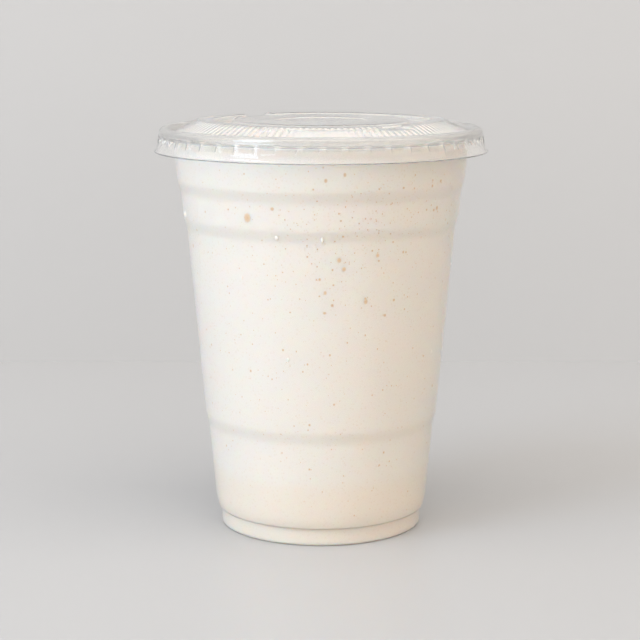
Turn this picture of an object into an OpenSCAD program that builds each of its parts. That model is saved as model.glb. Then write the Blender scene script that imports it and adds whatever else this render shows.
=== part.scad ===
// A vanilla milkshake in a clear plastic cup under a flat press-on lid.
// Millimetres, +Z up. The origin is the centre of the foot ring, on the surface the cup stands on.
// The front of the cup faces -Y.

/* [Cup] */
// Outside diameter of the rolled rim
rim_d = 98; // [80:0.5:120]
// Height of the cup to the top of its rim
cup_h = 123.5; // [100:0.5:160]
// Thickness of the cup's wall
wall = 0.35; // [0.3:0.05:0.8]
// Radius of the rolled rim's section
curl_r = 1.45; // [1.1:0.05:1.8]
// How far below the top of the rim the wall starts to flare out to it
mouth_h = 5.8; // [5:0.1:7]
// How far the wall flares out, up to where the lid's plug sits in it
mouth_flare = 1.5; // [0.8:0.05:2]

/* [Foot] */
// Outside diameter of the foot
foot_d = 62.6; // [50:0.2:76]
// Height of the foot, up to the ledge under the body
foot_h = 5.5; // [4.5:0.1:7]
// How far the body's line stands outside the foot
ledge_w = 1.45; // [1:0.05:2]
// How far the body's lower edge is rounded in from that line
limb_in = 0.55; // [0.2:0.05:0.8]
// Height over which the body's lower edge is rounded
limb_h = 4.5; // [3:0.5:8]
// Radius of the foot's outer bottom edge
foot_round = 1; // [0.6:0.1:1.4]
// Width of the flat ring that the cup stands on
ring_contact = 1.6; // [1:0.1:2.4]
// Height of the hollow under the base
punt_h = 2.2; // [1.6:0.1:3]
// Horizontal run of the slope that leads up to that hollow
punt_run = 2.4; // [1:0.1:4]

/* [Shoulders] */
// Height of the middle of the lower shoulder
low_z = 34; // [28:0.5:42]
// How far the lower shoulder steps out
low_step = 0.6; // [0.3:0.05:0.8]
// How far below the rim the middle of the second shoulder lies
mid_drop = 28.5; // [25:0.5:36]
// How far the second shoulder steps out
mid_step = 0.73; // [0.3:0.01:1]
// How far below the rim the middle of the top shoulder lies
top_drop = 17.3; // [12:0.1:21]
// How far the top shoulder steps out
top_step = 0.75; // [0.3:0.01:1]
// Height over which each shoulder swells out
shoulder_h = 4.6; // [2:0.1:6]

/* [Milkshake] */
// Free height between the milkshake and the underside of the lid's plug
head_gap = 0.5; // [0.2:0.1:3]
// Clearance between the milkshake and the cup's wall
fill_gap = 0.05; // [0.02:0.01:0.2]
// How far the milkshake climbs the wall at its edge
cling_h = 0.25; // [0.1:0.05:0.4]
// Width of that climb
cling_w = 1.5; // [0.5:0.1:3]

/* [Lid] */
// Thickness of the lid's sheet
lid_t = 0.3; // [0.2:0.02:0.4]
// Clearance between the lid and the rim it is pressed over
lid_gap = 0.1; // [0.05:0.01:0.2]
// How far the skirt's edge lies below the top of the rim
skirt_drop = 6.8; // [6:0.1:9]
// How far the skirt leans out between the bead and its lip
skirt_lean = 0.8; // [0.3:0.05:1]
// Radius of the lip that turns out at the skirt's edge
lip_r = 0.9; // [0.5:0.05:1.2]
// How far the plug inside the rim reaches below the top of the rim
plug_h = 2.6; // [2.2:0.1:3.2]
// Radius of the bend at the bottom of the plug
plug_bend = 0.4; // [0.35:0.05:0.6]
// Width of the flat at the bottom of the plug
plug_flat = 0.3; // [0.1:0.1:1]
// Horizontal run of the plug's inner face, up to the foot of the cone
plug_run = 0.4; // [0.3:0.1:1.5]
// How far the foot of the ribbed cone lies below the top of the rim
cone_drop = 1; // [0.5:0.1:1.5]
// Horizontal width of the cone
cone_w = 7.3; // [4:0.1:10]
// How far the crown's ring stands above the top of the rim
crown_h = 2.5; // [1.8:0.1:4]
// Width of the ring's flat top
crown_w = 4; // [2:0.1:6]
// Depth of the valley inside the ring
valley_h = 1.35; // [0.8:0.05:1.8]
// Width of the valley's floor
valley_w = 4.9; // [2:0.1:7]
// How far the middle disc stands above the valley
disc_h = 1.2; // [0.5:0.05:1.4]
// Horizontal run of each sloping side of the ring, the disc and the dish
side_run = 0.8; // [0.5:0.1:1.2]
// Diameter of the shallow dish in the middle disc
dish_d = 30; // [20:1:32]
// Depth of that dish
dish_h = 0.4; // [0.1:0.05:0.5]

/* [Lid lugs and notches] */
// Number of snap lugs pressed into the skirt
lug_count = 49; // [24:1:56]
// Width of the plain ridge left between two lugs
ridge_w = 1.7; // [1.2:0.1:2.5]
// Angle below the horizontal at which a lug bears on the rim
lug_angle = 38; // [30:1:45]
// Height over which a lug fades back out to the skirt
lug_tail = 1.5; // [1:0.1:2]
// Direction of the first ridge, to the right of the front
ridge_at = 0.5; // [-4:0.1:4]
// Number of notches across the ring
notch_count = 2; // [1:1:4]
// Direction of the first notch, to the right of the front
notch_at = 36; // [-90:1:90]
// Width of a notch
notch_w = 10.6; // [6:0.1:14]
// Depth of a notch below the ring's top
notch_h = 1.1; // [0.7:0.05:1.3]

/* [Hidden] */
$fn = 96;
ARC_STEP = 12;
SHOULDER_STEPS = 8;
FREE_END = -115;
FRONT = -90;

// Rim, body and floor
curl_c = [rim_d / 2 - curl_r, cup_h - curl_r];
mouth_r = curl_c.x - curl_r + wall;
flare_z = cup_h - mouth_h;
mouth_z = cup_h - plug_h;
foot_r = foot_d / 2;
floor_z = punt_h + wall;
shoulders = [[low_z, low_step], [cup_h - mid_drop, mid_step], [cup_h - top_drop, top_step]];
taper = (mouth_r - mouth_flare - low_step - mid_step - top_step - foot_r - ledge_w) / (flare_z - foot_h);
contact_in = foot_r - foot_round - ring_contact;
punt_r = contact_in - punt_run;
level_z = mouth_z - head_gap;

// Lid
bead_r = curl_r + lid_gap + lid_t;
skirt_r = curl_c.x + bead_r;
lip_z = cup_h - skirt_drop;
lip_c = [skirt_r + skirt_lean + lip_r, lip_z + lip_r];
plug_r = curl_c.x - bead_r;
plug_z = mouth_z + lid_t;
cone_r = plug_r - plug_bend - plug_flat - plug_run;
crown_z = cup_h + crown_h;
crown_r = cone_r - cone_w;
valley_r = crown_r - crown_w - side_run;
valley_z = crown_z - valley_h;
disc_r = valley_r - valley_w - side_run;
disc_z = valley_z + disc_h;
dish_r = dish_d / 2;
lug_pitch = 360 / lug_count;

// Points along an arc about c, from one angle to another
function arc(c, r, from, to) =
    let (n = ceil(abs(to - from) / ARC_STEP))
    [for (i = [0:n]) let (a = from + (to - from) * i / n) c + r * [cos(a), sin(a)]];

// A soft rise from 0 to 1 as x goes from 0 to 1
function ease(x) = let (t = min(max(x, 0), 1)) t * t * (3 - 2 * t);

// Sum of a list of numbers
function total(list) = list * [for (i = list) 1];

// Outside radius of the cup's body at height z: a straight taper, three shoulders that step out,
// a rounded lower edge and a flare under the rim
function body_r(z) =
    foot_r + ledge_w + taper * (min(z, flare_z) - foot_h)
    + total([for (s = shoulders) s[1] * ease((z - s[0]) / shoulder_h + 0.5)])
    - limb_in * pow(max(1 - (z - foot_h) / limb_h, 0), 2)
    + mouth_flare * ease((z - flare_z) / (mouth_z - flare_z));

// Heights at which the body's outline bends, from the ledge up to the rim
function body_heights() = concat(
    [for (i = [0:5]) foot_h + limb_h * i / 5],
    [for (s = shoulders, i = [0:SHOULDER_STEPS]) s[0] + shoulder_h * (i / SHOULDER_STEPS - 0.5)],
    [for (i = [0:SHOULDER_STEPS]) flare_z + (mouth_z - flare_z) * i / SHOULDER_STEPS],
    [curl_c.y]
);

// The same list from its last entry to its first
function backwards(list) = [for (i = [len(list) - 1:-1:0]) list[i]];

// Direction from one point to another, and the direction a quarter turn to its left
function along(a, b) = (b - a) / norm(b - a);
function left_of(d) = [-d.y, d.x];

// Where the line through p along d meets the line through q along e
function meet(p, d, q, e) = p + d * ((q - p) * left_of(e)) / (d * left_of(e));

// A path moved t to its left, with its corners kept sharp
function beside(path, t) = [for (i = [0:len(path) - 1])
    let (a = left_of(along(path[max(i - 1, 0)], path[max(i, 1)])),
         b = left_of(along(path[min(i, len(path) - 2)], path[min(i + 1, len(path) - 1)])))
    path[i] + t * (a + b) / (1 + a * b)];

// Inside outline of the cup, from its axis out along the floor and up the wall to height z.
// It lies gap clear of the cup's walls.
function inside(z, gap) = concat(
    [[0, floor_z], [punt_r + gap, floor_z], [contact_in + gap, wall]],
    arc([foot_r - foot_round, foot_round], foot_round - wall - gap, -90, 0),
    [[foot_r - wall - gap, foot_h + wall]],
    [for (h = body_heights()) if (h > foot_h + wall && h < z) [body_r(h) - wall - gap, h]],
    [[body_r(z) - wall - gap, z]]
);

// The cup's wall: foot ring and hollow base, ledge, body with its shoulders, and the rim rolled
// outwards into an open curl
module cup() {
    outside = concat(
        [[0, punt_h], [punt_r, punt_h], [contact_in, 0]],
        arc([foot_r - foot_round, foot_round], foot_round, -90, 0),
        [[foot_r, foot_h]],
        [for (h = body_heights()) [body_r(h), h]]
    );
    curl_under = arc(curl_c, curl_r - wall, 180 - ARC_STEP, FREE_END);
    curl_over = arc(curl_c, curl_r, FREE_END, 180 - ARC_STEP);
    color("whitesmoke", 0.4)
        rotate_extrude() polygon(concat(outside, curl_under, curl_over, backwards(inside(curl_c.y, 0))));
}

// The milkshake, filled up to just under the lid and drawn up a little where it meets the wall
module milkshake() {
    edge_r = body_r(level_z) - wall - fill_gap;
    top = [for (i = [1:4]) [edge_r - cling_w * i / 4, level_z + cling_h * (pow(1 - i / 4, 2) - 1)]];
    color("linen")
        rotate_extrude() polygon(concat(inside(level_z, fill_gap), top, [[0, level_z - cling_h]]));
}

// Upper outline of the lid's sheet, from the lip of its skirt to its centre
function lid_path() = concat(
    arc(lip_c, lip_r, 265, 180),
    arc(curl_c, bead_r, 0, 180),
    arc([plug_r - plug_bend, plug_z + plug_bend], plug_bend, 0, -90),
    [[plug_r - plug_bend - plug_flat, plug_z],
     [cone_r, cup_h - cone_drop],
     [crown_r, crown_z],
     [crown_r - crown_w, crown_z],
     [valley_r, valley_z],
     [disc_r + side_run, valley_z],
     [disc_r, disc_z],
     [dish_r, disc_z],
     [dish_r - side_run, disc_z - dish_h],
     [0, disc_z - dish_h]]
);

// Section of one snap lug: a face that hugs the rim from below, then a tail that runs back out to
// the skirt. The first shape is the dent as seen from outside, the second the sheet around it.
skirt_dir = along([skirt_r, curl_c.y], [skirt_r + skirt_lean, lip_c.y]);
hug = curl_c + bead_r * [cos(lug_angle), -sin(lug_angle)];
hug_dir = [sin(lug_angle), cos(lug_angle)];
lug_z = cup_h - 2 * curl_r - lid_gap;
lug_deep = hug + hug_dir * (lug_z - hug.y) / hug_dir.y;
tail_end = [skirt_r, curl_c.y] + skirt_dir * (lug_z - lug_tail - curl_c.y) / skirt_dir.y;
tail_dir = along(lug_deep, tail_end);
REACH = 3;
dent = [lug_deep, lug_deep + tail_dir * REACH, lug_deep + hug_dir * REACH];
dent_back = beside([dent[1], dent[0], dent[2]], lid_t);
sheet_mid = [skirt_r - lid_t / 2, curl_c.y];
dent_sheet = [
    dent_back[1],
    meet(dent_back[1], tail_dir, sheet_mid, skirt_dir),
    meet(dent_back[1], hug_dir, sheet_mid, skirt_dir)
];

// One copy of the lug's section for every lug, drawn out to width w
module at_lugs(section, w) {
    for (i = [0:lug_count - 1])
        rotate(FRONT + ridge_at + lug_pitch * (i + 0.5)) rotate([90, 0, 0])
            translate([0, 0, -w / 2]) linear_extrude(w) polygon(section);
}

// One block for every notch, from the valley out over the cone, grown by grow on every side
module at_notches(grow) {
    for (i = [0:notch_count - 1])
        rotate(FRONT + notch_at + 360 / notch_count * i)
            translate([valley_r, -notch_w / 2 - grow, crown_z - notch_h - grow])
                cube([crown_w + side_run + cone_w, notch_w + 2 * grow, notch_h + 1]);
}

// The lid: one thin sheet pressed into a skirt with snap lugs, a bead over the rim, a plug inside
// it, and a raised crown with a notched ring, a valley and a shallow dish
module lid() {
    path = lid_path();
    lug_w = 2 * PI * lug_deep.x / lug_count - ridge_w;
    color("gainsboro", 0.5) difference() {
        union() {
            rotate_extrude() polygon(concat(path, backwards(beside(path, lid_t))));
            at_lugs(dent_sheet, lug_w + 2 * lid_t);
            intersection() {
                at_notches(lid_t);
                rotate_extrude()
                    polygon([[0, plug_z], [cone_r, plug_z], [cone_r, cup_h - cone_drop],
                             [crown_r, crown_z], [0, crown_z]]);
            }
        }
        at_lugs(dent, lug_w);
        at_notches(0);
    }
}

cup();
milkshake();
lid();
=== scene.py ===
"""Vanilla milkshake in a clear plastic cup under a flat press-on lid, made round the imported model.

Shapes are worked out in millimetres, with +Z up and the front towards -Y, and become metres in each mesh.
"""

import bpy
import numpy as np
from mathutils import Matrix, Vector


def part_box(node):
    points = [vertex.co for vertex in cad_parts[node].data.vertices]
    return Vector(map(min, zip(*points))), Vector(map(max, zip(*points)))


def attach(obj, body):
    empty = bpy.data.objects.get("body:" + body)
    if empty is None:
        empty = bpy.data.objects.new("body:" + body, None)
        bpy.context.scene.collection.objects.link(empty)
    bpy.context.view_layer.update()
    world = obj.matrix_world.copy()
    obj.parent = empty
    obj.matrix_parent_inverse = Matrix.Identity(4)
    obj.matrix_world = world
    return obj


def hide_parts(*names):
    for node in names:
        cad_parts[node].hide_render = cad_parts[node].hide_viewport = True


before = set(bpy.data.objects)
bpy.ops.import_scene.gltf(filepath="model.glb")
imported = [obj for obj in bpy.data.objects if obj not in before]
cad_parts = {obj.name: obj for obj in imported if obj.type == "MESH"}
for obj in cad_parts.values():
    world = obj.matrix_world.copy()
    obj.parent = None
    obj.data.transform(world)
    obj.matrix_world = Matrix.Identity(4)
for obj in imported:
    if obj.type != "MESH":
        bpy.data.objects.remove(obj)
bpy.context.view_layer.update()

# ---------------------------------------------------------------------------------------------
# Cup. One clear plastic sheet, heated and drawn by vacuum into a mould that gives it the foot, the
# ledge, three shoulders and the flare. Its edge is rolled outwards hot, into an open curl.
# ---------------------------------------------------------------------------------------------
MM = 0.001
FRONT = -np.pi / 2
cup_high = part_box("cup")[1] / MM
rim_r = cup_high.x
rim_z = cup_high.z
wall = 0.35
curl_r = 1.45
curl_centre = np.array([rim_r - curl_r, rim_z - curl_r])
free_end = -115
foot_r = 31.3
foot_h = 5.5
foot_round = 1.0
foot_line = 32.75
limb_in = 0.55
limb_h = 4.5
contact_r = 28.7
punt_r = 26.3
punt_h = 2.2
floor_z = punt_h + wall
mouth_r = curl_centre[0] - curl_r + wall
mouth_flare = 1.5
mouth_h = 5.8
plug_h = 2.6
flare_z = rim_z - mouth_h
mouth_z = rim_z - plug_h
shoulders = np.array([[34.0, 0.60], [rim_z - 28.5, 0.73], [rim_z - 17.3, 0.75]])
shoulder_h = 4.6
taper = (mouth_r - mouth_flare - shoulders[:, 1].sum() - foot_line) / (flare_z - foot_h)


def ease(x):
    """Soft step: t squared times (3 - 2 t), with t held between 0 and 1."""
    t = np.clip(x, 0, 1)
    return t * t * (3 - 2 * t)


def body_radius(z):
    """Outside radius at height z: the foot's line plus a straight taper, plus each shoulder's soft step,
    less a squared rounding of the lower edge, plus a soft flare under the rim."""
    steps = (shoulders[:, 1] * ease((z[..., None] - shoulders[:, 0]) / shoulder_h + 0.5)).sum(-1)
    limb = limb_in * np.clip(1 - (z - foot_h) / limb_h, 0, 1) ** 2
    flare = mouth_flare * ease((z - flare_z) / (mouth_z - flare_z))
    return foot_line + taper * (np.minimum(z, flare_z) - foot_h) + steps - limb + flare


def arc(centre, radius, start, end, steps):
    """Points (r, z) at centre plus radius times (cosine, sine) of angles spaced evenly, in degrees."""
    turn = np.radians(np.linspace(start, end, steps + 1))
    return np.asarray(centre) + radius * np.column_stack([np.cos(turn), np.sin(turn)])


def rounded(corners, radii, steps=4):
    """The polyline with each inner corner P replaced by the curve (1-t)^2 A + 2 t (1-t) P + t^2 B, where
    A and B lie on its two legs, the fillet's tangent length away or nearly half a leg if that is less."""
    path = np.asarray(corners, dtype=float)
    leg = np.diff(path, axis=0)
    size = np.linalg.norm(leg, axis=1)
    way = leg / size[:, None]
    half_turn = np.arccos(np.clip((way[:-1] * way[1:]).sum(1), -1, 1)) / 2
    cut = np.minimum(radii * np.tan(half_turn), 0.48 * np.minimum(size[:-1], size[1:]))[:, None]
    t = np.linspace(0, 1, steps + 1)[:, None, None]
    before = path[1:-1] - way[:-1] * cut
    after = path[1:-1] + way[1:] * cut
    bend = (1 - t) ** 2 * before + 2 * t * (1 - t) * path[1:-1] + t ** 2 * after
    return np.vstack([path[:1], bend.transpose(1, 0, 2).reshape(-1, 2), path[-1:]])


def inside(heights, clear):
    """Inside outline of the cup from its axis, out over the floor and up the wall through the given
    heights. It keeps a distance clear from the sheet, and a negative one lies within the sheet."""
    inner = wall + clear
    first = foot_h + inner
    low = rounded([[0, floor_z + clear], [punt_r, floor_z + clear], [contact_r + clear, inner],
                   [foot_r - inner, inner], [foot_r - inner, first],
                   [body_radius(np.array(first)) - inner, first],
                   [body_radius(heights[:1])[0] - inner, heights[0]]],
                  np.array([0.6, 0.8, foot_round - wall, 0.5, 0.4]))
    return np.vstack([low[:-1], np.column_stack([body_radius(heights) - inner, heights])])


def turned(path, count):
    """Rings of the path turned about the axis, with count points each: (r cos a, r sin a, z)."""
    angle = FRONT + 2 * np.pi * np.arange(count) / count
    r, z = path[:, :1], path[:, 1:]
    return np.stack([r * np.cos(angle), r * np.sin(angle), z + 0 * angle], axis=2)


def pole(z):
    """A ring of one point on the axis, which closes a skin at its start or end."""
    return np.array([[0.0, 0.0, z]])


def piece(name, points, faces, material):
    """Smooth mesh object of points in mm and lists of corner numbers, riding on the body."""
    mesh = bpy.data.meshes.new(name)
    mesh.from_pydata(points * MM, [], faces)
    mesh.polygons.foreach_set("use_smooth", np.ones(len(mesh.polygons), dtype=bool))
    mesh.materials.append(material)
    made = bpy.data.objects.new(name, mesh)
    bpy.context.collection.objects.link(made)
    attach(made, "root")
    return made


def skin(name, rings, material):
    """Closed surface over a chain of rings from pole to pole. Two neighbours are joined corner i to
    corner i, both counted in steps of the finer one, and a face with a repeated corner is a triangle."""
    counts = [len(ring) for ring in rings]
    firsts = np.cumsum(counts) - counts
    faces = []
    for first, count, next_first, next_count in zip(firsts, counts, firsts[1:], counts[1:]):
        steps = max(count, next_count)
        corner = np.arange(steps + 1)
        a = first + (corner * count + steps // 2) // steps % count
        b = next_first + (corner * next_count + steps // 2) // steps % next_count
        quads = np.column_stack([a[:-1], a[1:], b[1:], b[:-1]])
        a_same = a[:-1] == a[1:]
        b_same = b[:-1] == b[1:]
        faces += quads[~a_same & ~b_same].tolist()
        faces += quads[a_same][:, [0, 2, 3]].tolist()
        faces += quads[b_same][:, [0, 1, 3]].tolist()
    return piece(name, np.vstack(rings), faces, material)


def sheet_waves():
    """Node group for the uneven thickness of drawn sheet: noise on Object coordinates, at a given scale
    across and with its own share of that scale along Z."""
    group = bpy.data.node_groups.new("sheet_waves", "ShaderNodeTree")
    group.interface.new_socket("Scale", in_out="INPUT", socket_type="NodeSocketFloat")
    group.interface.new_socket("Upright", in_out="INPUT", socket_type="NodeSocketFloat")
    group.interface.new_socket("Height", in_out="OUTPUT", socket_type="NodeSocketFloat")
    node, link = group.nodes.new, group.links.new
    given = node("NodeGroupInput")
    made = node("NodeGroupOutput")
    place = node("ShaderNodeTexCoord")
    stretch = node("ShaderNodeCombineXYZ")
    stretched = node("ShaderNodeVectorMath")
    stretched.operation = "MULTIPLY"
    noise = node("ShaderNodeTexNoise")
    noise.inputs["Detail"].default_value = 2.0
    stretch.inputs["X"].default_value = 1.0
    stretch.inputs["Y"].default_value = 1.0
    link(given.outputs["Upright"], stretch.inputs["Z"])
    link(place.outputs["Object"], stretched.inputs[0])
    link(stretch.outputs[0], stretched.inputs[1])
    link(stretched.outputs[0], noise.inputs["Vector"])
    link(given.outputs["Scale"], noise.inputs["Scale"])
    link(noise.outputs["Fac"], made.inputs["Height"])
    return group


def clear_plastic(name, colour, clear, ior, roughness, waves, scale, upright):
    """Clear moulded plastic: a refracting sheet with faint waves of the given height in metres. Clear is
    the share of light that isn't scattered as haze. Shadow rays go straight through."""
    material = bpy.data.materials.new(name)
    material.use_nodes = True
    tree = material.node_tree
    node, link = tree.nodes.new, tree.links.new
    body = tree.nodes["Principled BSDF"]
    body.inputs["Base Color"].default_value = (*colour, 1.0)
    body.inputs["Roughness"].default_value = roughness
    body.inputs["IOR"].default_value = ior
    body.inputs["Transmission Weight"].default_value = clear
    uneven = node("ShaderNodeGroup")
    uneven.node_tree = plastic_waves
    uneven.inputs["Scale"].default_value = scale
    uneven.inputs["Upright"].default_value = upright
    bump = node("ShaderNodeBump")
    bump.inputs["Distance"].default_value = waves
    through = node("ShaderNodeBsdfTransparent")
    through.inputs["Color"].default_value = (0.98, 0.98, 0.98, 1.0)
    path = node("ShaderNodeLightPath")
    either = node("ShaderNodeMixShader")
    link(uneven.outputs["Height"], bump.inputs["Height"])
    link(bump.outputs["Normal"], body.inputs["Normal"])
    link(path.outputs["Is Shadow Ray"], either.inputs["Fac"])
    link(body.outputs["BSDF"], either.inputs[1])
    link(through.outputs["BSDF"], either.inputs[2])
    link(either.outputs["Shader"], tree.nodes["Material Output"].inputs["Surface"])
    return material


plastic_waves = sheet_waves()
cup_plastic = clear_plastic("clear cup plastic", (0.985, 0.985, 0.98), 1.0, 1.5, 0.06, 0.0002, 70, 0.35)

height_step = 0.75
body_heights = np.append(np.arange(foot_h + limb_h / 8, mouth_z, height_step),
                         [mouth_z, curl_centre[1]])
cup_under = rounded([[0, punt_h], [punt_r, punt_h], [contact_r, 0], [foot_r, 0], [foot_r, foot_h],
                     [body_radius(np.array(foot_h)), foot_h],
                     [body_radius(body_heights[:1])[0], body_heights[0]]],
                    np.array([0.8, 0.6, foot_round, 0.3, 0.25]))
cup_outside = np.vstack([cup_under[1:-1], np.column_stack([body_radius(body_heights), body_heights])])
curl_lip = curl_centre + (curl_r - wall / 2) * np.array([np.cos(np.radians(free_end)),
                                                         np.sin(np.radians(free_end))])
cup_curl = np.vstack([arc(curl_centre, curl_r - wall, 172, free_end, 24),
                      arc(curl_lip, wall / 2, free_end + 180, free_end + 360, 6)[1:-1],
                      arc(curl_centre, curl_r, free_end, 180, 28)])
cup_inside = inside(body_heights[:-1], 0)[1:]
cup = skin("cup", [pole(punt_h), *turned(cup_outside, 240), *turned(cup_curl, 240),
                   *turned(cup_inside[::-1], 120), pole(floor_z)], cup_plastic)
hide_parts("cup")

# ---------------------------------------------------------------------------------------------
# Milkshake. Whipped milk and ice cream, opaque and cream coloured, filled to just under the lid. It wets
# the wall all over, so it reaches just into the sheet, and its top is a froth that climbs at the edge.
# ---------------------------------------------------------------------------------------------
level_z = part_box("milkshake")[1].z / MM
cling_h = 0.25
cling_w = 1.5
into_wall = 0.1
rng = np.random.default_rng(7)


def ripples(x, y, count, longest, shortest):
    """Sum of count cosines of random direction, phase and wavelength, scaled to about -1 to 1."""
    turn, phase = rng.uniform(0, 2 * np.pi, (2, count))
    wave = 2 * np.pi / rng.uniform(shortest, longest, count)
    along = x[..., None] * np.cos(turn) + y[..., None] * np.sin(turn)
    return np.cos(along * wave + phase).sum(-1) / np.sqrt(count)


def top_rings(radii, count):
    """Rings of the drink's top: level at the edge, less a squared fall over the cling's width, with
    ripples that fade out to the edge."""
    rings = turned(np.column_stack([radii, np.full(len(radii), level_z)]), count)
    inward = (edge_r - radii)[:, None] / cling_w
    fall = cling_h * (1 - np.clip(1 - inward, 0, 1) ** 2)
    froth = ripples(rings[..., 0], rings[..., 1], 24, 9, 2.5)
    rings[..., 2] += 0.09 * froth * np.clip(inward - 0.3, 0, 1) - fall
    return rings


def cream_tone():
    """Node group for the drink's colour: the given cream, turned to the warmer one below a soft line from
    16 to 22 mm up, with a fine froth of paler and darker points. It also puts out that froth as a height."""
    group = bpy.data.node_groups.new("cream_tone", "ShaderNodeTree")
    for label in ("Cream", "Warm", "Speck"):
        group.interface.new_socket(label, in_out="INPUT", socket_type="NodeSocketColor")
    group.interface.new_socket("Color", in_out="OUTPUT", socket_type="NodeSocketColor")
    group.interface.new_socket("Height", in_out="OUTPUT", socket_type="NodeSocketFloat")
    node, link = group.nodes.new, group.links.new
    given = node("NodeGroupInput")
    made = node("NodeGroupOutput")
    place = node("ShaderNodeTexCoord")
    split = node("ShaderNodeSeparateXYZ")
    link(place.outputs["Object"], split.inputs[0])
    # The drink turns warmer below a soft line from 16 to 22 mm up.
    below_line = node("ShaderNodeMapRange")
    below_line.interpolation_type = "SMOOTHSTEP"
    below_line.inputs["From Min"].default_value = 0.016
    below_line.inputs["From Max"].default_value = 0.022
    below_line.inputs["To Min"].default_value = 1.0
    below_line.inputs["To Max"].default_value = 0.0
    link(split.outputs["Z"], below_line.inputs["Value"])
    cloud = node("ShaderNodeTexNoise")
    cloud.inputs["Scale"].default_value = 45.0
    cloud.inputs["Detail"].default_value = 3.0
    link(place.outputs["Object"], cloud.inputs["Vector"])
    froth = node("ShaderNodeTexVoronoi")
    froth.inputs["Scale"].default_value = 900.0
    link(place.outputs["Object"], froth.inputs["Vector"])
    points = node("ShaderNodeMapRange")
    points.inputs["From Min"].default_value = 0.12
    points.inputs["From Max"].default_value = 0.3
    points.inputs["To Min"].default_value = 1.0
    points.inputs["To Max"].default_value = 0.0
    link(froth.outputs["Distance"], points.inputs["Value"])
    sparse = node("ShaderNodeMath")
    sparse.operation = "MULTIPLY"
    link(points.outputs["Result"], sparse.inputs[0])
    link(cloud.outputs["Fac"], sparse.inputs[1])
    warmed = node("ShaderNodeMix")
    warmed.data_type = "RGBA"
    link(below_line.outputs["Result"], warmed.inputs["Factor"])
    link(given.outputs["Cream"], warmed.inputs["A"])
    link(given.outputs["Warm"], warmed.inputs["B"])
    specked = node("ShaderNodeMix")
    specked.data_type = "RGBA"
    part = node("ShaderNodeMath")
    part.operation = "MULTIPLY"
    part.inputs[1].default_value = 0.5
    link(sparse.outputs[0], part.inputs[0])
    link(part.outputs[0], specked.inputs["Factor"])
    link(warmed.outputs["Result"], specked.inputs["A"])
    link(given.outputs["Speck"], specked.inputs["B"])
    link(specked.outputs["Result"], made.inputs["Color"])
    link(froth.outputs["Distance"], made.inputs["Height"])
    return group


def cream_group(tree):
    """The shared cream colour placed in a material, with the drink's own three tones."""
    tone = tree.nodes.new("ShaderNodeGroup")
    tone.node_tree = drink_tone
    tone.inputs["Cream"].default_value = (0.92, 0.863, 0.797, 1.0)
    tone.inputs["Warm"].default_value = (0.92, 0.84, 0.75, 1.0)
    tone.inputs["Speck"].default_value = (0.80, 0.66, 0.50, 1.0)
    return tone


drink_tone = cream_tone()
drink_cream = bpy.data.materials.new("milkshake cream")
drink_cream.use_nodes = True
drink_tree = drink_cream.node_tree
drink_body = drink_tree.nodes["Principled BSDF"]
drink_body.inputs["Roughness"].default_value = 0.45
drink_body.inputs["Specular IOR Level"].default_value = 0.2
drink_body.inputs["Subsurface Weight"].default_value = 1.0
drink_body.inputs["Subsurface Radius"].default_value = (1.0, 0.75, 0.55)
drink_body.inputs["Subsurface Scale"].default_value = 0.0015
drink_colour = cream_group(drink_tree)
drink_bump = drink_tree.nodes.new("ShaderNodeBump")
drink_bump.inputs["Strength"].default_value = 0.25
drink_bump.inputs["Distance"].default_value = 0.0001
drink_tree.links.new(drink_colour.outputs["Color"], drink_body.inputs["Base Color"])
drink_tree.links.new(drink_colour.outputs["Height"], drink_bump.inputs["Height"])
drink_tree.links.new(drink_bump.outputs["Normal"], drink_body.inputs["Normal"])

drink_heights = np.append(body_heights[body_heights < level_z - 0.2], level_z)
drink_side = inside(drink_heights, -into_wall)[1:]
edge_r = drink_side[-1, 0]
drink_radii = np.append(edge_r - cling_w * np.arange(1, 6) / 5, np.linspace(edge_r - 2.5, 0, 56)[:-1])
drink = skin("milkshake", [pole(floor_z - into_wall), *turned(drink_side, 240),
                           *top_rings(drink_radii, 240), pole(level_z - cling_h)],
             drink_cream)
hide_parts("milkshake")

# ---------------------------------------------------------------------------------------------
# Bubbles. Air whipped into the drink sits against the wall and shows as tan dots. Each is a shallow lens
# on the drink's side, tan in its middle and cream at its rim.
# ---------------------------------------------------------------------------------------------
bubble_count = 1300
bubble_sides = 8
bubble_usual = 0.19
bubble_proud = 0.03
bubble_sunk = 0.006
dense_count = 160
dense_z = 95
large_count = 16
largest_at = FRONT - np.radians(30)
largest_z = 100
largest_size = 1.4


def drink_radius(z):
    """Radius of the drink's side at height z, which is the cup's outside less the sheet it leaves."""
    return body_radius(z) - wall + into_wall


def lens(count):
    """One lens of unit radius, as points (u, v, depth) with depth 1 at its middle and 0 at its rim, and
    the corner numbers of its triangles and quads."""
    turn = 2 * np.pi * np.arange(count) / count
    circle = np.column_stack([np.cos(turn), np.sin(turn)])
    flat = np.vstack([[[0, 0]], 0.6 * circle, circle])
    depth = np.concatenate([[1.0], np.full(count, 0.75), np.zeros(count)])
    here = np.arange(count)
    following = (here + 1) % count
    middle = np.column_stack([0 * here, 1 + here, 1 + following])
    edge = np.column_stack([1 + here, 1 + count + here, 1 + count + following, 1 + following])
    return np.column_stack([flat, depth]), middle, edge


def scattered(name, points, depth, middle, edge, material):
    """One mesh of many lenses: points is lens by corner by (x, y, z), and depth becomes an attribute."""
    many, corners = points.shape[:2]
    start = (np.arange(many) * corners)[:, None, None]
    faces = (middle + start).reshape(-1, 3).tolist() + (edge + start).reshape(-1, 4).tolist()
    made = piece(name, points.reshape(-1, 3), faces, material)
    held = made.data.attributes.new("depth", "FLOAT", "POINT")
    held.data.foreach_set("value", np.tile(depth, many).astype(np.float32))
    return made


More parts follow.
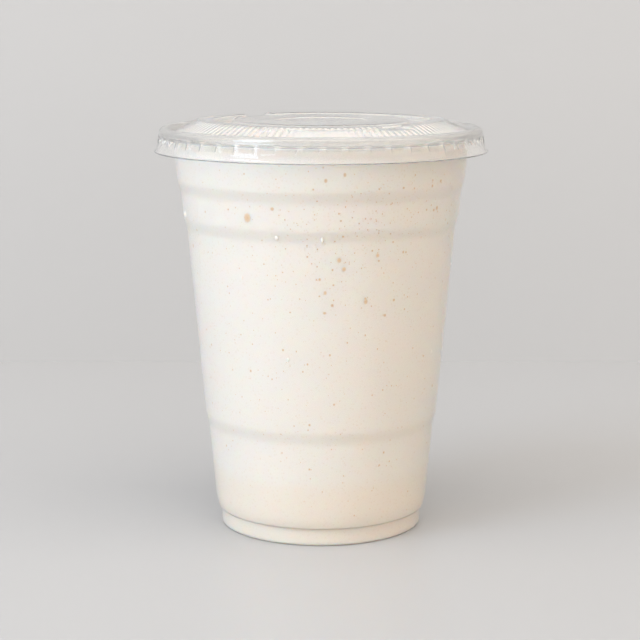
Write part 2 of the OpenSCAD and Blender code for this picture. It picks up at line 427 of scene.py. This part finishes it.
bubble_tan = bpy.data.materials.new("bubble tan")
bubble_tan.use_nodes = True
bubble_tree = bubble_tan.node_tree
bubble_body = bubble_tree.nodes["Principled BSDF"]
bubble_body.inputs["Roughness"].default_value = 0.4
bubble_body.inputs["Specular IOR Level"].default_value = 0.2
bubble_depth = bubble_tree.nodes.new("ShaderNodeAttribute")
bubble_depth.attribute_name = "depth"
bubble_colour = cream_group(bubble_tree)
bubble_mix = bubble_tree.nodes.new("ShaderNodeMix")
bubble_mix.data_type = "RGBA"
bubble_mix.inputs["B"].default_value = (0.78, 0.55, 0.32, 1.0)
bubble_tree.links.new(bubble_depth.outputs["Fac"], bubble_mix.inputs["Factor"])
bubble_tree.links.new(bubble_colour.outputs["Color"], bubble_mix.inputs["A"])
bubble_tree.links.new(bubble_mix.outputs["Result"], bubble_body.inputs["Base Color"])

bubble_form, bubble_middle, bubble_edge = lens(bubble_sides)
bubble_size = np.clip(rng.lognormal(np.log(bubble_usual), 0.42, bubble_count), 0.09, 0.6)
bubble_angle = rng.uniform(0, 2 * np.pi, bubble_count)
bubble_z = foot_h + 2 + (mouth_z - foot_h - 6) * rng.uniform(0, 1, bubble_count) ** 0.75
bubble_angle[:dense_count] = FRONT + rng.normal(0.3, 0.4, dense_count)
bubble_z[:dense_count] = rng.normal(dense_z, 9, dense_count)
bubble_tall = rng.uniform(0.8, 1.3, bubble_count)
# A few larger ones sit about the front, and one is much the largest.
bubble_angle = np.concatenate([bubble_angle, FRONT + rng.normal(0.2, 0.55, large_count), [largest_at]])
bubble_z = np.concatenate([bubble_z, rng.uniform(70, 114, large_count), [largest_z]])
bubble_size = np.concatenate([bubble_size, rng.uniform(0.4, 0.75, large_count), [largest_size]])
bubble_tall = np.concatenate([bubble_tall, rng.uniform(0.7, 1.5, large_count), [1.2]])
across = bubble_form[:, 0] * bubble_size[:, None]
up = bubble_form[:, 1] * (bubble_size * bubble_tall)[:, None]
bubble_r = drink_radius(bubble_z[:, None] + up) + bubble_proud * bubble_form[:, 2] - bubble_sunk
bubble_turn = bubble_angle[:, None] + across / bubble_r
bubble_points = np.stack([bubble_r * np.cos(bubble_turn), bubble_r * np.sin(bubble_turn),
                          bubble_z[:, None] + up], axis=2)
scattered("bubbles", bubble_points, bubble_form[:, 2], bubble_middle, bubble_edge,
          bubble_tan)

# ---------------------------------------------------------------------------------------------
# Droplets. A few small drops on the outside of the cup, taken to be milkshake that dried there. Each is a
# low dome of the same cream that reaches just into the sheet.
# ---------------------------------------------------------------------------------------------
drop_count = 14
drop_sides = 16
drop_sunk = 0.02
drop_flat = 0.15
drop_angle = FRONT + np.radians(rng.uniform(-180, 180, drop_count))[:, None]
drop_z = rng.uniform(55, 112, drop_count)[:, None]
drop_size = rng.uniform(0.3, 0.6, drop_count)[:, None]
drop_tall = rng.uniform(1.3, 1.9, drop_count)[:, None]
drop_form, drop_middle, drop_edge = lens(drop_sides)
drop_up = drop_z + drop_form[:, 1] * drop_size * drop_tall
drop_r = body_radius(drop_up) + (drop_size - drop_flat) * drop_form[:, 2] - drop_sunk
drop_turn = drop_angle + drop_form[:, 0] * drop_size / drop_r
drop_points = np.stack([drop_r * np.cos(drop_turn), drop_r * np.sin(drop_turn), drop_up], axis=2)
scattered("droplets", drop_points, drop_form[:, 2], drop_middle, drop_edge, drink_cream)

# ---------------------------------------------------------------------------------------------
# Lid. One thin clear sheet, vacuum formed and pressed over the curl: 49 dents in its skirt grip under
# it. Fine ribs stiffen the cone, two notches cross the crown's ring, and a valley holds the disc.
# ---------------------------------------------------------------------------------------------
crown_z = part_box("lid")[1].z / MM
lid_t = 0.3
lid_gap = 0.1
bead_r = curl_r + lid_gap + lid_t
skirt_r = curl_centre[0] + bead_r
skirt_drop = 6.8
skirt_lean = 0.8
lip_r = 0.9
lip_centre = np.array([skirt_r + skirt_lean + lip_r, rim_z - skirt_drop + lip_r])
plug_r = curl_centre[0] - bead_r
plug_bend = 0.4
plug_flat = 0.3
plug_run = 0.4
plug_z = mouth_z + lid_t
cone_r = plug_r - plug_bend - plug_flat - plug_run
cone_z = rim_z - 1.0
cone_w = 7.3
crown_r = cone_r - cone_w
crown_w = 4.0
side_run = 0.8
valley_r = crown_r - crown_w - side_run
valley_z = crown_z - 1.35
valley_w = 4.9
disc_r = valley_r - valley_w - side_run
disc_z = valley_z + 1.2
dish_r = 15.0
dish_h = 0.4
lug_count = 49
lug_at = FRONT + np.radians(0.5)
lug_top = 121.5
lug_mid = rim_z - 2 * curl_r - lid_gap
lug_low = lug_mid - 1.5
lug_deep = 0.95
lug_edge = 0.12
lug_side = 0.09
lug_steps = 16
neck_deep = 0.1
rib_count = 132
rib_h = 0.22
rib_steps = 6
notch_at = FRONT + np.radians(36)
notch_w = 10.6
notch_z = crown_z - 1.1
notch_ramp = 1.2
plain_steps = 200


def lid_outline():
    """Upper outline of the sheet, as points (r, z) from its lip to just short of its middle."""
    skirt_z = np.concatenate([np.linspace(lip_centre[1] + 0.1, lug_low - 0.1, 4),
                              np.linspace(lug_low + 0.15, lug_mid - 0.25, 4),
                              np.linspace(lug_mid - 0.1, lug_mid + 0.1, 2),
                              np.linspace(lug_mid + 0.3, lug_top + 0.1, 5),
                              np.linspace(lug_top + 0.3, curl_centre[1] + 0.15, 4)])
    lean = (lip_centre[0] - lip_r - skirt_r) / (curl_centre[1] - lip_centre[1])
    skirt = np.column_stack([skirt_r + lean * np.maximum(curl_centre[1] - skirt_z, 0), skirt_z])
    middle = rounded([[plug_r - plug_bend, plug_z], [cone_r + plug_run, plug_z], [cone_r, cone_z],
                      [crown_r, crown_z], [crown_r - crown_w, crown_z], [valley_r, valley_z],
                      [disc_r + side_run, valley_z], [disc_r, disc_z], [dish_r, disc_z],
                      [dish_r - side_run, disc_z - dish_h], [0, disc_z - dish_h]],
                     np.array([0.3, 0.7, 1.2, 0.7, 0.7, 0.7, 0.7, 1.2, 1.2]))
    return np.vstack([arc(lip_centre, lip_r, 262, 184, 5), skirt,
                      arc(curl_centre, bead_r, 10, 180, 18),
                      arc([plug_r - plug_bend, plug_z + plug_bend], plug_bend, 0, -78, 4), middle[:-1]])


def fill(path, longest):
    """The path with each leg split evenly, so that none is longer than the given length."""
    size = np.linalg.norm(np.diff(path, axis=0), axis=1)
    parts = np.maximum(np.ceil(size / longest), 1).astype(int)
    place = np.repeat(np.arange(len(size)), parts)
    share = np.concatenate([np.arange(n) / n for n in parts])[:, None]
    return np.vstack([path[place] * (1 - share) + path[place + 1] * share, path[-1:]])


def normals(path):
    """Direction a quarter turn left of the path's own, from each point's two neighbours."""
    way = np.gradient(path, axis=0)
    way /= np.linalg.norm(way, axis=1)[:, None]
    return np.column_stack([-way[:, 1], way[:, 0]])


def pressed(r, z, angle):
    """The sheet's (r, z) with its pressed features: dents in the skirt, ribs along the cone and notches
    across the ring. A dent is a ramp down and up in z times a window in angle. A rib is the fourth power
    of a cosine. In a notch, what stands above its floor is lowered to it, with soft ends."""
    phase = ((angle - lug_at) * lug_count / (2 * np.pi)) % 1
    window = ease((0.5 - np.abs(phase - 0.5) - lug_edge) / lug_side)
    dent = lug_deep * np.interp(z, [lug_low, lug_mid - 0.08, lug_mid + 0.08, lug_top], [0, 0.97, 0.97, 0])
    dent = dent * (r > curl_centre[0])
    neck = neck_deep * np.exp(-((z - curl_centre[1] - 0.05) / 0.22) ** 2) * (r > skirt_r - 0.3)
    on_cone = ease((cone_r - 0.2 - r) / 0.8) * ease((r - crown_r + 0.1) / 0.5)
    rib = rib_h * np.cos(rib_count / 2 * (angle - lug_at)) ** 4 * on_cone
    across = np.abs(r * np.sin(angle - notch_at))
    notch = 1 - ease((across - notch_w / 2) / notch_ramp + 0.5)
    raised = z + rib * 0.94
    cut = np.maximum(raised - notch_z, 0) * notch * (r > valley_r) * (r < cone_r)
    return r - dent * window - neck + rib * 0.34, raised - cut


def lid_rings(path, shift):
    """Rings of the pressed sheet moved by shift: crowded at the dents' walls on the skirt, even and fine
    on the cone and ring, coarse elsewhere."""
    inner = lug_edge + lug_side
    crowd = np.interp(np.arange(lug_steps), [0, 2, 5, 8, 11, 14, lug_steps],
                      [0, lug_edge, inner, 0.5, 1 - inner, 1 - lug_edge, 1])
    by_lug = (np.arange(lug_count)[:, None] + crowd).ravel() / lug_count
    rings = []
    for (r, z), (r_shift, z_shift) in zip(path, shift):
        on_skirt = r > curl_centre[0] and lip_centre[1] < z < curl_centre[1]
        on_ring = valley_r - 0.5 < r < cone_r + 0.3
        count = lug_steps * lug_count if on_skirt else rib_steps * rib_count if on_ring else plain_steps
        share = by_lug if on_skirt else np.arange(count) / count
        angle = lug_at + 2 * np.pi * share
        moved_r, moved_z = pressed(r, z, angle)
        rings.append(np.column_stack([(moved_r + r_shift) * np.cos(angle),
                                      (moved_r + r_shift) * np.sin(angle), moved_z + z_shift]))
    return rings


lid_plastic = clear_plastic("clear lid plastic", (1.0, 0.985, 0.96), 0.91, 1.42, 0.05, 0.0001, 60, 1.0)
longest_leg = 1.6
lid_upper = fill(lid_outline(), longest_leg)
lid_under = lid_t * normals(lid_upper)
lid_middle_z = disc_z - dish_h
lid = skin("lid", [pole(lid_middle_z - lid_t), *lid_rings(lid_upper[::-1], lid_under[::-1]),
                   *lid_rings(lid_upper, 0 * lid_under), pole(lid_middle_z)], lid_plastic)
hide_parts("lid")

# ---------------------------------------------------------------------------------------------
# Stage. A plain pale floor that meets a plain wall behind the cup. Each is seen from its face only, so
# that the wall never stands between the cup and a camera behind it.
# ---------------------------------------------------------------------------------------------
wall_y = 249.0
wall_high = 3000.0
floor_near = -4000.0
stage_half = 3000.0
stage_path = np.array([[floor_near, 0], [wall_y, 0], [wall_y, wall_high]])
stage_x = np.array([-stage_half, stage_half])
stage_points = np.stack([np.broadcast_to(stage_x, (len(stage_path), 2)),
                         np.broadcast_to(stage_path[:, :1], (len(stage_path), 2)),
                         np.broadcast_to(stage_path[:, 1:], (len(stage_path), 2))], axis=2)
stage_row = np.arange(len(stage_path) - 1) * 2
stage_faces = np.column_stack([stage_row, stage_row + 1, stage_row + 3, stage_row + 2])

stone = bpy.data.materials.new("pale stone")
stone.use_nodes = True
stone_tree = stone.node_tree
stone_body = stone_tree.nodes["Principled BSDF"]
stone_body.inputs["Base Color"].default_value = (0.44, 0.442, 0.444, 1.0)
stone_body.inputs["Roughness"].default_value = 0.35
stone_body.inputs["Specular IOR Level"].default_value = 0.3
stone_side = stone_tree.nodes.new("ShaderNodeNewGeometry")
stone_clear = stone_tree.nodes.new("ShaderNodeBsdfTransparent")
stone_either = stone_tree.nodes.new("ShaderNodeMixShader")
stone_tree.links.new(stone_side.outputs["Backfacing"], stone_either.inputs["Fac"])
stone_tree.links.new(stone_body.outputs["BSDF"], stone_either.inputs[1])
stone_tree.links.new(stone_clear.outputs["BSDF"], stone_either.inputs[2])
stone_tree.links.new(stone_either.outputs["Shader"],
                     stone_tree.nodes["Material Output"].inputs["Surface"])

stage_mesh = bpy.data.meshes.new("floor")
stage_mesh.from_pydata(stage_points.reshape(-1, 3) * MM, [], stage_faces.tolist())
stage_mesh.materials.append(stone)
floor = bpy.data.objects.new("floor", stage_mesh)
bpy.context.collection.objects.link(floor)

# ---------------------------------------------------------------------------------------------
# Light and camera. A soft cool lamp on the left and a little to the front, a weak low warm one on the
# right, and a bright pale room.
# ---------------------------------------------------------------------------------------------


def soft_lamp(name, place, size, watts, colour):
    """Square area lamp at a place in metres, turned to face the middle of the cup."""
    lamp = bpy.data.lights.new(name, "AREA")
    lamp.shape = "RECTANGLE"
    lamp.size, lamp.size_y = size
    lamp.energy = watts
    lamp.color = colour
    made = bpy.data.objects.new(name, lamp)
    bpy.context.collection.objects.link(made)
    spot = bpy.context.scene.cursor.location.copy()
    spot.xyz = place
    made.location = spot
    aim = spot.copy()
    aim.xyz = (0, 0, 0.07)
    made.rotation_euler = (aim - spot).to_track_quat("-Z", "Y").to_euler()
    return made


soft_lamp("key lamp", (-1.0, -0.73, 0.95), (0.6, 1.2), 9.0, (0.62, 0.79, 1.0))
soft_lamp("fill lamp", (0.95, -1.0, 0.1), (1.2, 0.5), 1.5, (1.0, 0.9, 0.8))

room = bpy.data.worlds.new("room")
room.use_nodes = True
room.node_tree.nodes["Background"].inputs["Color"].default_value = (1.0, 0.94, 0.88, 1.0)
room.node_tree.nodes["Background"].inputs["Strength"].default_value = 1.95
bpy.context.scene.world = room
bpy.context.scene.view_settings.view_transform = "Standard"

eye = bpy.data.cameras.new("camera")
eye.sensor_width = 36
eye.lens = 100.7
camera = bpy.data.objects.new("camera", eye)
camera.location = (-0.0003, -0.549, 0.1613)
camera.rotation_euler = (np.radians(79.91), 0, 0)
bpy.context.collection.objects.link(camera)
bpy.context.scene.camera = camera
